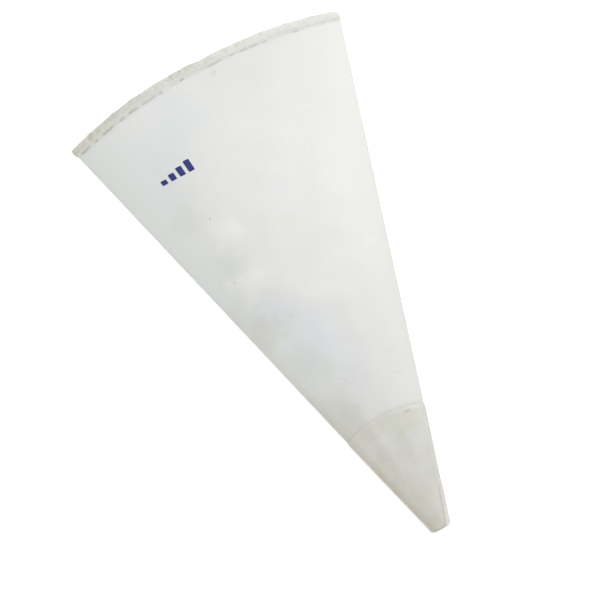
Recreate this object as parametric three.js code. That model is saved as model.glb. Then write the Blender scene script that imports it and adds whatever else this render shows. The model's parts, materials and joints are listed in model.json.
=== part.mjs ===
// A reusable piping bag of coated cotton, lying flat and relaxed on a table.
//
// Millimetres, +Z up. The bag lies along Y: its wide mouth is at +Y, its narrow tip at -Y, the
// folded edge of the cloth at -X and the sewn side seam at +X. The origin is on the table, under
// the middle of the bag's length.
//
// The bag is a cone pressed flat. All its straight edges run to one point beyond the tip, the
// apex, so a place along the bag is given by its distance from the apex. Each cross-section has a
// flat back layer, an arched front layer and two round ends, and every cloth layer is a parallel
// offset of that same section.

import * as THREE from 'three';
import { mergeVertices } from 'three/addons/utils/BufferGeometryUtils.js';

// Driving dimensions.
const LENGTH = 340;                  // along the axis, from the cut tip to the middle of the mouth
const HALF_ANGLE = THREE.MathUtils.degToRad(15.46);
const TIP_DISTANCE = 24.2;           // from the apex to the cut tip
const MOUTH_DISTANCE = TIP_DISTANCE + LENGTH;
const APEX_Y = -(TIP_DISTANCE + MOUTH_DISTANCE) / 2;

const CLOTH = 0.45;                  // one layer of coated cotton
const GAP = 0.3;                     // between pieces that lie on each other
const EDGE_RADIUS = 2.2;             // how round the folded edge and the seam edge are
const TIP_HEIGHT = 6.2;              // body cloth, underside to top, at the tip
const MOUTH_HEIGHT = 8.8;            // the same at the mouth
const ARCH_POWER = 4;                // how flat the front layer is between its two shoulders

const SLEEVE_DISTANCE = 106.4;       // upper edge of the tip reinforcement, on the axis
const SLEEVE_BOW = 1.6;              // its edge curves a little more than a true arc would
const SLEEVE_OFFSET = GAP + CLOTH;   // outer face of the reinforcement above the body cloth

const HEM_DEPTH = 6.7;               // how far the turned hem reaches down from the mouth
const HEM_THICKNESS = 2 * CLOTH;     // the hem is two layers, because its raw edge is turned in
const HEM_OFFSET = GAP + HEM_THICKNESS;
const STITCH_DEPTH = 5.3;            // the stitching line, below the mouth
const GROOVE_HALF_WIDTH = 0.75;      // of the groove that the stitching pulls into the hem
const GROOVE_FLOOR = GAP + 0.15;     // height of the groove's floor above the body cloth
const RIM_ROUNDING = 0.35;           // of the hem's corners

const THREAD_RADIUS = 0.2;
const THREAD_SIDES = 6;
const THREAD_COLOR = '#cfc6b2';

const SEAM_START = 62;               // the seam allowance is trimmed short of the tip's neck
const SEAM_WIDTH = 6;
const SEAM_THICKNESS = 2 * CLOTH;    // both edges of the panel
const TAPE_WIDTH = 8;
const TAPE_THICKNESS = 0.3;

const LAP_END = 50;                  // where the lapped edge of the reinforcement runs off the side
const LAP_WIDTH = 4.8;               // its width at the cut tip
const LAP_LEAST = 0.2;               // how far it still reaches onto the front where it ends

const MARK_LOW = 302;                // the printed size mark, between two distances from the apex
const MARK_HIGH = 310.5;
const MARK_LEFT = -0.685;            // and between two shares of the bag's half width
const MARK_RIGHT = -0.375;
const INK = 0.12;

// Steps of the faceting.
const BACK_STEPS = 10;
const END_STEPS = 6;
const FRONT_STEPS = 18;
const SEAM_STEPS = 10;

const { lerp, clamp } = THREE.MathUtils;

// How far a place is along the bag: 0 at the cut tip, 1 at the mouth.
function shareAlong(distance) {
  return (distance - TIP_DISTANCE) / LENGTH;
}

// Height of the body cloth, underside to top.
function bodyHeight(distance) {
  return lerp(TIP_HEIGHT, MOUTH_HEIGHT, shareAlong(distance));
}

// The reinforcement and the hem lie on the table and hold the thinner body cloth off it.
function bodyLift(distance) {
  const fromSleeve = (distance - SLEEVE_DISTANCE) / (MOUTH_DISTANCE - HEM_DEPTH - SLEEVE_DISTANCE);
  return lerp(SLEEVE_OFFSET, HEM_OFFSET, clamp(fromSleeve, 0, 1));
}

// A crossing line over the bag: its distance from the apex on the axis, and its bow. Bow 0 is a
// straight cut, and bow 1 is an arc about the apex.
function crossing(distance, bow) {
  return { distance, bow };
}

const TIP_CUT = crossing(TIP_DISTANCE, 0);

function crossingBetween(low, high, share) {
  return crossing(lerp(low.distance, high.distance, share), lerp(low.bow, high.bow, share));
}

// Distance along the axis of the crossing line where it passes a given x.
function axialDistance(line, x) {
  const arc = Math.sqrt(line.distance ** 2 - x ** 2);
  return lerp(line.distance, arc, line.bow);
}

// Half width of the body cloth on a crossing line. The body is a little narrower inside the
// reinforcement, so that the outside runs straight to the cut tip.
function halfWidth(line) {
  let x = line.distance * Math.sin(HALF_ANGLE);
  for (let pass = 0; pass < 4; pass += 1) {
    x = axialDistance(line, x) * Math.tan(HALF_ANGLE);
  }
  const intoSleeve = (SLEEVE_DISTANCE - line.distance) / (SLEEVE_DISTANCE - TIP_DISTANCE);
  return x - SLEEVE_OFFSET * clamp(intoSleeve, 0, 1);
}

// Height of the front layer's skeleton above the back layer's, and its slope across the bag.
function frontArch(line, x, reach) {
  const rise = bodyHeight(axialDistance(line, x)) - 2 * EDGE_RADIUS;
  const across = Math.abs(x / reach);
  return {
    height: rise * (1 - across ** ARCH_POWER),
    slope: (-Math.sign(x) * rise * ARCH_POWER * across ** (ARCH_POWER - 1)) / reach,
  };
}

// A place on a section is a stretch of it and a share of that stretch. The four stretches follow
// each other round the section: back, seam end, front, fold end.
function sectionPoint(line, place, offset) {
  const reach = halfWidth(line) - EDGE_RADIUS;
  const radius = EDGE_RADIUS + offset;
  const endSlope = frontArch(line, reach, reach).slope;
  const sweep = Math.PI - Math.atan(-endSlope);
  let x = 0;
  let height = 0;
  if (place.stretch === 'back') {
    x = lerp(-reach, reach, place.share);
    height = -radius;
  } else if (place.stretch === 'seam') {
    const angle = -Math.PI / 2 + sweep * place.share;
    x = reach + radius * Math.cos(angle);
    height = radius * Math.sin(angle);
  } else if (place.stretch === 'front') {
    const base = lerp(reach, -reach, place.share);
    const arch = frontArch(line, base, reach);
    const size = Math.hypot(1, arch.slope);
    x = base - (radius * arch.slope) / size;
    height = arch.height + radius / size;
  } else {
    const angle = -Math.PI / 2 - sweep * (1 - place.share);
    x = -reach + radius * Math.cos(angle);
    height = radius * Math.sin(angle);
  }
  const distance = axialDistance(line, x);
  return new THREE.Vector3(x, APEX_Y + distance, bodyLift(distance) + EDGE_RADIUS + height);
}

function stretchPlaces(stretch, steps) {
  return Array.from({ length: steps }, (_, step) => ({ stretch, share: step / steps }));
}

// The whole way round a section.
function fullRound() {
  return [
    ...stretchPlaces('back', BACK_STEPS),
    ...stretchPlaces('seam', END_STEPS),
    ...stretchPlaces('front', FRONT_STEPS),
    ...stretchPlaces('fold', END_STEPS),
  ];
}

// A closed solid from a grid of points, rows by columns. The columns run round a closed profile.
// The rows either close on themselves, or the two end rows are capped with a fan.
function gridSolid(rows, rowsClose) {
  const columns = rows[0].length;
  const positions = rows.flat().flatMap((point) => [point.x, point.y, point.z]);
  const triangles = [];
  const rowSteps = rowsClose ? rows.length : rows.length - 1;
  for (let row = 0; row < rowSteps; row += 1) {
    for (let column = 0; column < columns; column += 1) {
      const nextRow = (row + 1) % rows.length;
      const nextColumn = (column + 1) % columns;
      const a = row * columns + column;
      const b = row * columns + nextColumn;
      const c = nextRow * columns + nextColumn;
      const d = nextRow * columns + column;
      triangles.push(a, c, b, a, d, c);
    }
  }
  if (!rowsClose) {
    const last = (rows.length - 1) * columns;
    const half = columns / 2;
    for (let column = 0; column < half - 1; column += 1) {
      const near = column;
      const far = columns - 1 - column;
      triangles.push(near, near + 1, far, near + 1, far - 1, far);
      triangles.push(last + near, last + far, last + near + 1);
      triangles.push(last + near + 1, last + far, last + far - 1);
    }
  }
  const geometry = new THREE.BufferGeometry();
  geometry.setAttribute('position', new THREE.Float32BufferAttribute(positions, 3));
  geometry.setIndex(triangles);
  geometry.computeVertexNormals();
  return geometry;
}

// A ring of cloth: a closed profile of [crossing line, offset] pairs, carried round the section.
function ringSolid(profile) {
  const rows = fullRound().map((place) => profile.map(([line, offset]) => sectionPoint(line, place, offset)));
  return gridSolid(rows, true);
}

// A profile for a cloth layer between two crossing lines, with its two faces at two offsets.
function layerProfile(low, high, inner, outer, steps) {
  const lines = Array.from({ length: steps + 1 }, (_, step) => crossingBetween(low, high, step / steps));
  return [...lines.map((line) => [line, inner]), ...lines.reverse().map((line) => [line, outer])];
}

// A strip of cloth along the bag. placesAt gives the places across it on a crossing line.
function stripSolid(low, high, inner, outer, steps, placesAt) {
  const rows = Array.from({ length: steps + 1 }, (_, step) => {
    const line = crossingBetween(low, high, step / steps);
    const places = placesAt(line);
    const outside = places.map((place) => sectionPoint(line, place, outer));
    const inside = places.map((place) => sectionPoint(line, place, inner)).reverse();
    return [...outside, ...inside];
  });
  return gridSolid(rows, false);
}

// A thread along a smooth path.
function threadSolid(points, steps) {
  const outline = new THREE.Shape();
  outline.absarc(0, 0, THREAD_RADIUS, 0, 2 * Math.PI, false);
  const geometry = new THREE.ExtrudeGeometry(outline, {
    extrudePath: new THREE.CatmullRomCurve3(points),
    steps,
    curveSegments: THREAD_SIDES,
    bevelEnabled: false,
  });
  geometry.deleteAttribute('normal');
  geometry.deleteAttribute('uv');
  const merged = mergeVertices(geometry, 1e-4);
  merged.computeVertexNormals();
  return merged;
}

function subpart(name, geometry, color, roughness) {
  const material = new THREE.MeshStandardMaterial({ color, roughness, metalness: 0 });
  const mesh = new THREE.Mesh(geometry, material);
  mesh.name = name;
  return mesh;
}

// The body: one coated panel, folded along its middle into a cone, open at the mouth and the tip.
function bodyPanel() {
  const high = crossing(MOUTH_DISTANCE - CLOTH - GAP, 1);
  const steps = 12;
  return subpart('body_panel', ringSolid(layerProfile(TIP_CUT, high, -CLOTH, 0, steps)), '#ece9df', 0.42);
}

// The hem: the cloth turned outwards over the mouth's edge, with its raw edge tucked in. Its
// section is a hook over the edge of the body, with a groove where the stitching pulls it down.
function mouthHem() {
  const depth = (below) => crossing(MOUTH_DISTANCE - below, 1);
  const lip = HEM_OFFSET - RIM_ROUNDING;
  const profile = [
    [depth(HEM_DEPTH), GAP],
    [depth(CLOTH), GAP],
    [depth(CLOTH), -CLOTH],
    [depth(RIM_ROUNDING / 3), -CLOTH],
    [depth(0), 0],
    [depth(0), lip],
    [depth(RIM_ROUNDING), HEM_OFFSET],
    [depth(STITCH_DEPTH - GROOVE_HALF_WIDTH), HEM_OFFSET],
    [depth(STITCH_DEPTH), GROOVE_FLOOR],
    [depth(STITCH_DEPTH + GROOVE_HALF_WIDTH), (HEM_OFFSET + lip) / 2],
    [depth(HEM_DEPTH), lip],
  ];
  return subpart('mouth_hem', ringSolid(profile), '#e3dccb', 0.55);
}

// A thread that follows the mouth, at the stitching line and an offset from the body cloth. Its
// two ends are locked over each other at the side seam, so it is one ring.
function mouthThread(name, offset) {
  const profile = Array.from({ length: THREAD_SIDES }, (_, side) => {
    const angle = (2 * Math.PI * side) / THREAD_SIDES;
    const along = THREAD_RADIUS * Math.cos(angle);
    const out = THREAD_RADIUS * Math.sin(angle);
    return [crossing(MOUTH_DISTANCE - STITCH_DEPTH + along, 1), offset + out];
  });
  return subpart(name, ringSolid(profile), THREAD_COLOR, 0.7);
}

// The needle thread lies outside, down in the hem's groove.
function hemNeedleThread() {
  const offset = GROOVE_FLOOR + GAP + THREAD_RADIUS;
  return mouthThread('hem_needle_thread', offset);
}

// The bobbin thread locks the same stitches on the inside of the mouth.
function hemBobbinThread() {
  const offset = -CLOTH - GAP - THREAD_RADIUS;
  return mouthThread('hem_bobbin_thread', offset);
}

// Places on the back layer, in millimetres in from the seam end of the flat stretch.
function backPlaces(line, from, to) {
  const width = 2 * (halfWidth(line) - EDGE_RADIUS);
  return [from, to].map((inward) => ({ stretch: 'back', share: 1 - inward / width }));
}

const SEAM_LOW = crossing(SEAM_START, 1);
const SEAM_HIGH = crossing(MOUTH_DISTANCE - HEM_DEPTH - GAP, 1);

// The side seam's allowance: the panel's two long edges, sewn together and pressed to the back
// layer inside the bag.
function seamAllowance() {
  const outer = -CLOTH - GAP;
  const placesAt = (line) => backPlaces(line, SEAM_WIDTH, GAP);
  const geometry = stripSolid(SEAM_LOW, SEAM_HIGH, outer - SEAM_THICKNESS, outer, SEAM_STEPS, placesAt);
  return subpart('seam_allowance', geometry, '#e6e1d4', 0.6);
}

// The tape that covers the allowance, so that nothing seeps through the needle holes.
function seamTape() {
  const outer = -CLOTH - GAP - SEAM_THICKNESS - GAP;
  const placesAt = (line) => backPlaces(line, TAPE_WIDTH, GAP);
  const geometry = stripSolid(SEAM_LOW, SEAM_HIGH, outer - TAPE_THICKNESS, outer, SEAM_STEPS, placesAt);
  return subpart('seam_tape', geometry, '#f0eee8', 0.35);
}

// The thread of the side seam, hidden in the seam end of the section.
function seamThread() {
  const middle = { stretch: 'seam', share: 0.5 };
  const points = Array.from({ length: SEAM_STEPS + 1 }, (_, step) => {
    const line = crossingBetween(SEAM_LOW, SEAM_HIGH, step / SEAM_STEPS);
    return sectionPoint(line, middle, -CLOTH - 2 * GAP);
  });
  return subpart('seam_thread', threadSolid(points, SEAM_STEPS), THREAD_COLOR, 0.7);
}

// The reinforcement: a second layer of cloth round the tip.
function tipReinforcement() {
  const high = crossing(SLEEVE_DISTANCE, SLEEVE_BOW);
  const steps = 5;
  const geometry = ringSolid(layerProfile(TIP_CUT, high, GAP, SLEEVE_OFFSET, steps));
  return subpart('tip_reinforcement', geometry, '#dcd6c8', 0.5);
}

// The lapped edge of the reinforcement: a tongue on its front, wide at the cut tip, which runs
// off the side seam higher up.
function tipLap() {
  const inner = SLEEVE_OFFSET + GAP;
  const low = TIP_CUT;
  const high = crossing(LAP_END, 1);
  const steps = 4;
  const roundEnd = [0.5, 0.6, 0.7, 0.8, 0.9].map((share) => ({ stretch: 'seam', share }));
  const frontSteps = 5;
  const placesAt = (line) => {
    const width = 2 * (halfWidth(line) - EDGE_RADIUS);
    const remaining = (high.distance - line.distance) / (high.distance - low.distance);
    const inward = Math.max(LAP_WIDTH * remaining - EDGE_RADIUS - SLEEVE_OFFSET, LAP_LEAST);
    const onFront = Array.from({ length: frontSteps + 1 }, (_, step) => {
      return { stretch: 'front', share: (inward / width) * (step / frontSteps) };
    });
    return [...roundEnd, ...onFront];
  };
  const geometry = stripSolid(low, high, inner, inner + CLOTH, steps, placesAt);
  return subpart('tip_lap', geometry, '#e0dacc', 0.5);
}

// The printed size mark, as a thin film of ink on the front.
function sizeMark() {
  const columns = 6;
  const placesAt = () =>
    Array.from({ length: columns + 1 }, (_, column) => {
      const across = lerp(MARK_RIGHT, MARK_LEFT, column / columns);
      return { stretch: 'front', share: (1 - across) / 2 };
    });
  const low = crossing(MARK_LOW, 1);
  const high = crossing(MARK_HIGH, 1);
  return subpart('size_mark', stripSolid(low, high, GAP, GAP + INK, 2, placesAt), '#2c3473', 0.6);
}

const bag = new THREE.Group();
bag.add(
  bodyPanel(),
  mouthHem(),
  hemNeedleThread(),
  hemBobbinThread(),
  seamAllowance(),
  seamTape(),
  seamThread(),
  tipReinforcement(),
  tipLap(),
  sizeMark(),
);

export default bag;
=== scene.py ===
import json
import math

import bpy
import numpy as np
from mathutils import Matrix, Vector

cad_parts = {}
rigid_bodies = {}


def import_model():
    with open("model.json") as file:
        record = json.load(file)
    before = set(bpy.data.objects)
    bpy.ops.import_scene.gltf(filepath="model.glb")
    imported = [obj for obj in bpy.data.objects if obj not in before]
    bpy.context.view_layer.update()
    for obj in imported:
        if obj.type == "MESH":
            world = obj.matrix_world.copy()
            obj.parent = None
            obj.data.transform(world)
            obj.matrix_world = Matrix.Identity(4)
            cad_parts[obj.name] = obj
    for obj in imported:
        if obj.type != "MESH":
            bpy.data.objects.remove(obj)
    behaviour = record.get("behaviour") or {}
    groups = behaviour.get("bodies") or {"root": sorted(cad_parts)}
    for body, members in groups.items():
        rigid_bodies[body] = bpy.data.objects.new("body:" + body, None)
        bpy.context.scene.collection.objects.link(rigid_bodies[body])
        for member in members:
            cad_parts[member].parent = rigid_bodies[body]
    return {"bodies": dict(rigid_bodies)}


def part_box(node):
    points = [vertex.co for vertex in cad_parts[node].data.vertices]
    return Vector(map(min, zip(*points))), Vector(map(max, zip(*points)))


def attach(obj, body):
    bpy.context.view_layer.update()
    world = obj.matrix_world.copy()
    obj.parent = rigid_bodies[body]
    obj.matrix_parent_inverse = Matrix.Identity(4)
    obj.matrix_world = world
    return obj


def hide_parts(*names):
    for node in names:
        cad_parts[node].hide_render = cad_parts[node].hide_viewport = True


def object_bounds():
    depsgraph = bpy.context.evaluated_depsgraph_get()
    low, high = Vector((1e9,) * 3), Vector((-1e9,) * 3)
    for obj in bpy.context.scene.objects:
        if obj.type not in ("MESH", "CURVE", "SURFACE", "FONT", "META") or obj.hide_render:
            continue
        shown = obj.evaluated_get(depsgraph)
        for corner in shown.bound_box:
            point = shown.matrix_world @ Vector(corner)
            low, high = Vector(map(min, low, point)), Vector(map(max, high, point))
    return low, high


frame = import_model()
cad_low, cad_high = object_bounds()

# A reusable piping bag of coated cotton, lying flat and relaxed on a pale table. The long axis
# runs along Y, mouth at +Y and tip at -Y, the folded edge at -X and the sewn side seam at +X.
# Every straight edge of the pressed cone runs to one apex beyond the tip, and a place along the
# bag is given by its distance from that apex along the axis.

MM = 0.001

# ---------------------------------------------------------------- driving sizes, in metres
HALF_ANGLE = math.radians(15.46)
TIP_DISTANCE = 24.2 * MM
LENGTH = cad_high.y - cad_low.y
MOUTH_DISTANCE = TIP_DISTANCE + LENGTH
APEX_Y = cad_low.y - TIP_DISTANCE

CLOTH = 0.45 * MM
LAYER_GAP = 0.12 * MM
TIP_EDGE_RADIUS = 1.7 * MM           # how round the two edges are at the stiff tip
BODY_EDGE_RADIUS = 1.3 * MM          # and along the softer body
EDGE_SOFTENING = 130 * MM            # the distance over which one becomes the other
ARCH_POWER = 2.3

SLEEVE_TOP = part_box("tip_reinforcement")[1].y - APEX_Y
SLEEVE_BOW = 1.6
SLEEVE_OFFSET = LAYER_GAP + CLOTH

HEM_DEPTH = 6.9 * MM
HEM_OFFSET = 1.25 * MM
STITCH_DEPTH = 5.5 * MM
STITCH_PITCH = 3.1 * MM
THREAD_RADIUS = 0.19 * MM
THREAD_PITCH = 0.55 * MM             # of the woven cloth

LAP_WIDTH = 4.8 * MM                 # of the reinforcement's overlap, at the cut tip
MOUTH_CORNER = 4.0 * MM              # rounding of the mouth's corner at the side seam
TIP_CORNER = 1.0 * MM

# Steps round a section, on its back, its two ends and its front, and steps along the pieces.
ROUND_BACK, ROUND_END, ROUND_FRONT = 70, 12, 150
PANEL_STEPS, SLEEVE_STEPS, HEM_STEPS = 300, 44, 26
INNER_EVERY = 4                      # the inner faces have one row for this many outer rows


def smooth(edge0, edge1, value):
    """0 before edge0, 1 after edge1, and an S-curve between them."""
    t = np.clip((value - edge0) / (edge1 - edge0), 0.0, 1.0)
    return t * t * (3 - 2 * t)


def bump(value, centre, width):
    """A smooth bell, 1 at its centre."""
    return np.exp(-(((value - centre) / width) ** 2))


def soft_noise(x, y, wavelength, seed):
    """A smooth random field of about -1 to 1, the sum of a few plane waves."""
    rng = np.random.default_rng(seed)
    waves = 9
    total = np.zeros_like(x)
    for _ in range(waves):
        heading = rng.uniform(0, math.pi)
        number = 2 * math.pi / (wavelength * rng.uniform(0.7, 1.6))
        phase = rng.uniform(0, 2 * math.pi)
        total += np.sin(number * (x * math.cos(heading) + y * math.sin(heading)) + phase)
    return total / math.sqrt(waves)


# ---------------------------------------------------------------- the shape of the pressed cone
def edge_radius(distance):
    soft = smooth(TIP_DISTANCE, TIP_DISTANCE + EDGE_SOFTENING, distance)
    return TIP_EDGE_RADIUS + (BODY_EDGE_RADIUS - TIP_EDGE_RADIUS) * soft


def lift(distance):
    """Height of the body cloth's underside: the reinforcement and the hem hold it off the table."""
    share = np.clip((distance - SLEEVE_TOP) / (MOUTH_DISTANCE - HEM_DEPTH - SLEEVE_TOP), 0, 1)
    return SLEEVE_OFFSET + (HEM_OFFSET - SLEEVE_OFFSET) * share


def half_width(distance):
    inside_sleeve = np.clip((SLEEVE_TOP - distance) / (SLEEVE_TOP - TIP_DISTANCE), 0, 1)
    return distance * math.tan(HALF_ANGLE) - SLEEVE_OFFSET * inside_sleeve


def arch_rise(distance):
    """How much higher the front layer is in the middle than at the edges."""
    tip, belly, mouth = 1.3 * MM, 4.2 * MM, 3.4 * MM
    rise = tip + (belly - tip) * smooth(TIP_DISTANCE, 150 * MM, distance)
    return rise + (mouth - belly) * smooth(230 * MM, MOUTH_DISTANCE, distance)


# Soft lumps on the front: x and distance of the middle, half width, half length and height, in mm.
LUMPS = ((-31.0, 256.0, 7.0, 10.0, 0.45), (-35.0, 218.0, 6.0, 8.0, 0.40))
FIELD_HEIGHT = 1.5 * MM


def raised_field(x, distance):
    """A broad raised field that falls away towards the folded edge."""
    angle = np.degrees(np.arctan2(x, distance))
    lower = smooth(220 * MM, 165 * MM, distance)
    rim = -11.0 + 9.0 * lower
    spread = 3.6 + 6.0 * lower
    reach = smooth(120 * MM, 200 * MM, distance) * smooth(352 * MM, 300 * MM, distance)
    return FIELD_HEIGHT * smooth(rim - spread, rim + spread, angle) * reach


def front_relief(x, distance, across):
    """The front layer's own unevenness: a raised field, two soft lumps on its rim, small swells,
    the settled cloth, fine creases above the reinforcement, and a dent along its overlap."""
    window = (1 - np.clip(np.abs(across), 0, 1) ** 2) ** 1.2
    swells = 0.12 * MM * soft_noise(x, distance, 30 * MM, 5) * smooth(40 * MM, 180 * MM, distance)
    shape = swells + raised_field(x, distance)
    for middle_x, middle_distance, width, length, height in LUMPS:
        sideways = bump(x, middle_x * MM, width * MM)
        shape += height * MM * sideways * bump(distance, middle_distance * MM, length * MM)
    relief = window * shape + settled_height(distance, across)
    return relief + creases(x, distance) - lap_groove(x, distance)


# The front layer settles in a cloth simulation: a sheet held at its two edges, at the hem and
# at the reinforcement, between its own weight and the air inside. It runs at ten times size,
# which suits the solver, and what it changes is kept as a grid of heights.
SETTLE_ROWS, SETTLE_COLUMNS, SETTLE_FRAMES, SETTLE_SCALE = 90, 52, 30, 10
SETTLE_START, SETTLE_STOP = 60 * MM, MOUTH_DISTANCE - HEM_DEPTH
SETTLE_LIMIT = 1.6 * MM              # more than the cloth moves, so that nothing is cut off
SETTLE_SWELL = 0.3 * MM              # of the uneven sheet that it starts from


def sheet_before_settling():
    """Points of the front layer as a grid, row by row from the tip."""
    across = np.linspace(-1, 1, SETTLE_COLUMNS)
    rows = []
    for distance in np.linspace(SETTLE_START, SETTLE_STOP, SETTLE_ROWS):
        x = across * (half_width(distance) - edge_radius(distance))
        y = np.full_like(x, distance)
        swell = SETTLE_SWELL * soft_noise(x, y, 80 * MM, 11) * (1 - across**2)
        z = arch_rise(distance) * (1 - np.abs(across) ** ARCH_POWER) + swell
        rows.append(np.stack([x, y, z], 1))
    return np.concatenate(rows)


def stiffen(cloth):
    """Taut, light cloth: looser cloth buckles into folds that the bag doesn't have."""
    cloth.vertex_group_mass = "held"
    cloth.quality = 8
    cloth.mass = 0.25
    cloth.tension_stiffness = cloth.compression_stiffness = 300
    cloth.shear_stiffness = 100
    cloth.bending_stiffness = 2
    cloth.use_pressure = True
    cloth.uniform_pressure_force = 0.01
    cloth.effector_weights.gravity = 0.01


def settle_front():
    """Runs the simulation and gives the grid of changes in height."""
    before = sheet_before_settling()
    place = np.arange(len(before)).reshape(SETTLE_ROWS, SETTLE_COLUMNS)
    corners = (place[:-1, :-1], place[:-1, 1:], place[1:, 1:], place[1:, :-1])
    faces = np.stack(corners, -1).reshape(-1, 4).tolist()
    mesh = bpy.data.meshes.new("settling")
    mesh.from_pydata((before * SETTLE_SCALE).tolist(), [], faces)
    sheet = bpy.data.objects.new("settling", mesh)
    bpy.context.scene.collection.objects.link(sheet)
    edge = np.concatenate([place[0], place[-1], place[:, 0], place[:, -1]])
    sheet.vertex_groups.new(name="held").add(edge.tolist(), 1.0, "REPLACE")
    modifier = sheet.modifiers.new("cloth", "CLOTH")
    stiffen(modifier.settings)
    modifier.collision_settings.use_collision = False
    modifier.point_cache.frame_end = SETTLE_FRAMES
    for number in range(1, SETTLE_FRAMES + 1):
        bpy.context.scene.frame_set(number)
    result = sheet.evaluated_get(bpy.context.evaluated_depsgraph_get()).data
    after = np.empty(before.size)
    result.vertices.foreach_get("co", after)
    bpy.data.objects.remove(sheet)
    bpy.data.meshes.remove(mesh)
    bpy.context.scene.frame_set(1)
    change = after.reshape(-1, 3)[:, 2] / SETTLE_SCALE - before[:, 2]
    return np.clip(change, -SETTLE_LIMIT, SETTLE_LIMIT).reshape(SETTLE_ROWS, SETTLE_COLUMNS)


settled = settle_front()


def settled_height(distance, across):
    """The settled change at a place, read off the grid between its points."""
    share = np.clip((distance - SETTLE_START) / (SETTLE_STOP - SETTLE_START), 0, 1)
    row, column = share * (SETTLE_ROWS - 1), (np.clip(across, -1, 1) + 1) / 2 * (SETTLE_COLUMNS - 1)
    near_row = np.minimum(row.astype(int), SETTLE_ROWS - 2)
    near_column = np.minimum(column.astype(int), SETTLE_COLUMNS - 2)
    up, right = row - near_row, column - near_column

    def on_row(number):
        return settled[number, near_column] * (1 - right) + settled[number, near_column + 1] * right

    return on_row(near_row) * (1 - up) + on_row(near_row + 1) * up


def lap_groove(x, distance):
    """The dent beside the overlapped seam, showing through the reinforcement."""
    inward = (distance * math.tan(HALF_ANGLE) - x) * math.cos(HALF_ANGLE)
    run = smooth(96 * MM, 84 * MM, distance) * smooth(46 * MM, 56 * MM, distance)
    return 0.08 * MM * bump(inward, LAP_WIDTH - 1.3 * MM, 0.6 * MM) * run


# Fine creases in the front: x and distance of the middle, length, half width and depth, in mm.
CREASE_HEADING = math.radians(-42)
CREASES = (
    (-18.0, 143.0, 15.0, 0.9, 0.12), (-12.0, 138.5, 7.0, 0.55, 0.09), (-10.5, 136.3, 8.5, 0.5, 0.09),
    (-9.5, 134.2, 8.0, 0.55, 0.10), (-9.0, 132.0, 8.5, 0.5, 0.08), (-8.0, 129.8, 7.5, 0.55, 0.09),
    (-6.2, 142.0, 2.2, 1.1, 0.16), (-22.0, 190.0, 7.0, 2.0, 0.25), (6.0, 124.0, 12.0, 1.1, 0.07),
    (19.0, 128.0, 12.0, 1.2, 0.08), (23.0, 140.0, 10.0, 1.0, 0.06), (-15.0, 121.0, 9.0, 0.9, 0.09),
)


def creases(x, distance):
    """The depth of the fine creases, as a height below the front."""
    total = np.zeros_like(x)
    for middle_x, middle_distance, length, width, depth in CREASES:
        right, up = x - middle_x * MM, distance - middle_distance * MM
        lengthwise = right * math.cos(CREASE_HEADING) + up * math.sin(CREASE_HEADING)
        crosswise = up * math.cos(CREASE_HEADING) - right * math.sin(CREASE_HEADING)
        total -= depth * MM * bump(crosswise, 0, width * MM) * bump(lengthwise, 0, length / 2 * MM)
    return total


def rounded_corner(inward, radius):
    """How far a corner's rounding cuts back, at a distance in from the side."""
    into = 0.985 * np.clip(radius - inward, 0, radius)
    return radius - np.sqrt(radius**2 - into**2)


def rim_waver(angle):
    """How far the mouth's rim strays from its arc, at an angle in degrees from the axis."""
    swell = 0.9 * MM * bump(angle, -8, 5) + 0.25 * MM * bump(angle, 9, 4)
    return swell - 1.0 * MM * bump(angle, 0.7, 0.8) - 0.5 * MM * bump(angle, 3.9, 1.4)


def mouth_line(x):
    """Distance from the apex of the mouth's rim, at each x."""
    arc = np.sqrt(MOUTH_DISTANCE**2 - x**2)
    corner = rounded_corner(arc * math.tan(HALF_ANGLE) - x, MOUTH_CORNER)
    return arc - 0.35 * MM + rim_waver(np.degrees(np.arctan2(x, arc))) - corner


def tip_line(x):
    """Distance of the cut tip, its corners rounded."""
    inward = half_width(TIP_DISTANCE) - np.abs(x)
    return TIP_DISTANCE + rounded_corner(inward, TIP_CORNER)


def sleeve_line(x):
    """Distance of the reinforcement's bowed upper edge."""
    arc = np.sqrt(SLEEVE_TOP**2 - x**2)
    return SLEEVE_TOP - SLEEVE_BOW * (SLEEVE_TOP - arc)


# A crossing line is a function that gives a distance from the apex at each x.
def line_between(low, high, share):
    return lambda x: low(x) * (1 - share) + high(x) * share


def line_below(line, depth):
    return lambda x: line(x) - depth


def level_line(distance):
    return lambda x: np.full_like(x, distance)


def round_places(back=ROUND_BACK, end=ROUND_END, front=ROUND_FRONT):
    """Places round a section as rows of (stretch, share): 0 back, 1 seam end, 2 front, 3 fold end."""
    rows = []
    for stretch, steps in enumerate((back, end, front, end)):
        rows += [(stretch, step / steps) for step in range(steps)]
    return np.array(rows, float)


def across_section(stretch, share, edge):
    """How far across a place is, from -edge at the folded edge to edge at the seam edge."""
    on_flat = [stretch == 0, stretch == 1, stretch == 2]
    return np.select(on_flat, [(2 * share - 1) * edge, edge, (1 - 2 * share) * edge], -edge)


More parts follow.
